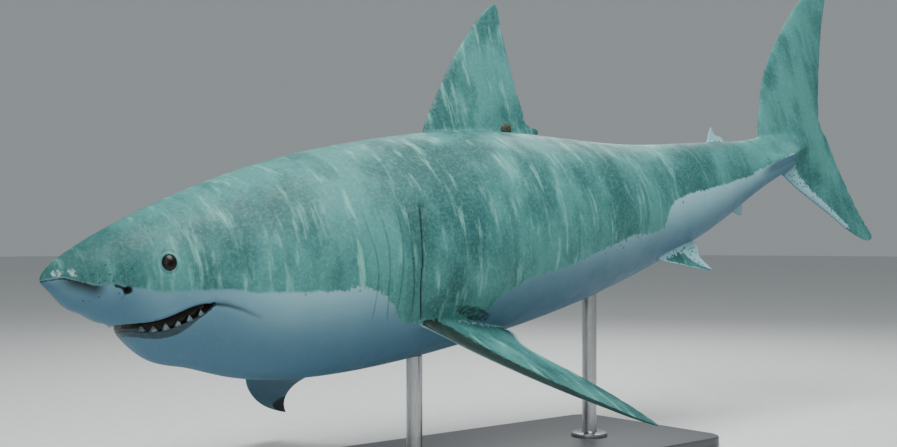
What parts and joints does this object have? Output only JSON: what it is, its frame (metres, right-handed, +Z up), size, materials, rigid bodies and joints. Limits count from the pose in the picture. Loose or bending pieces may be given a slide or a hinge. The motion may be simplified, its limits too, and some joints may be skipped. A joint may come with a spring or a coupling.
{
  "type": "great white shark on a display stand",
  "caption": "Life-size still model of a swimming great white shark with a small back tag, held on a low base by rods.",
  "frame": {"origin": "centre of the part's box, on the floor under the stand's base", "axes": "+Z up, the head towards -X, the left flank towards -Y"},
  "size_m": [3.4429, 1.2829, 1.7802],
  "materials": {
    "slate_skin": "grey-green shark skin, satin, finely rough",
    "pale_skin": "off-white belly skin, satin",
    "eye_surface": "wet black eye",
    "tag_shell": "dark tag case with green algae",
    "base_lacquer": "dark grey satin lacquer on board",
    "rod_steel": "brushed stainless steel"
  },
  "bodies": {
    "root": {"head": "slate_skin", "lower_jaw": "pale_skin", "gill_region": "slate_skin", "trunk_front": "slate_skin", "trunk_rear": "slate_skin", "tail_base": "slate_skin", "tail_stock": "slate_skin", "dorsal_fin": "slate_skin", "second_dorsal_fin": "slate_skin", "anal_fin": "pale_skin", "tail_upper_lobe": "slate_skin", "tail_lower_lobe": "slate_skin", "pectoral_fin_left": "slate_skin", "pectoral_fin_right": "slate_skin", "pelvic_fin_left": "pale_skin", "pelvic_fin_right": "pale_skin", "eye_left": "eye_surface", "eye_right": "eye_surface", "tag": "tag_shell", "stand_base": "base_lacquer", "stand_rod_front": "rod_steel", "stand_rod_rear": "rod_steel"}
  },
  "joints": []
}
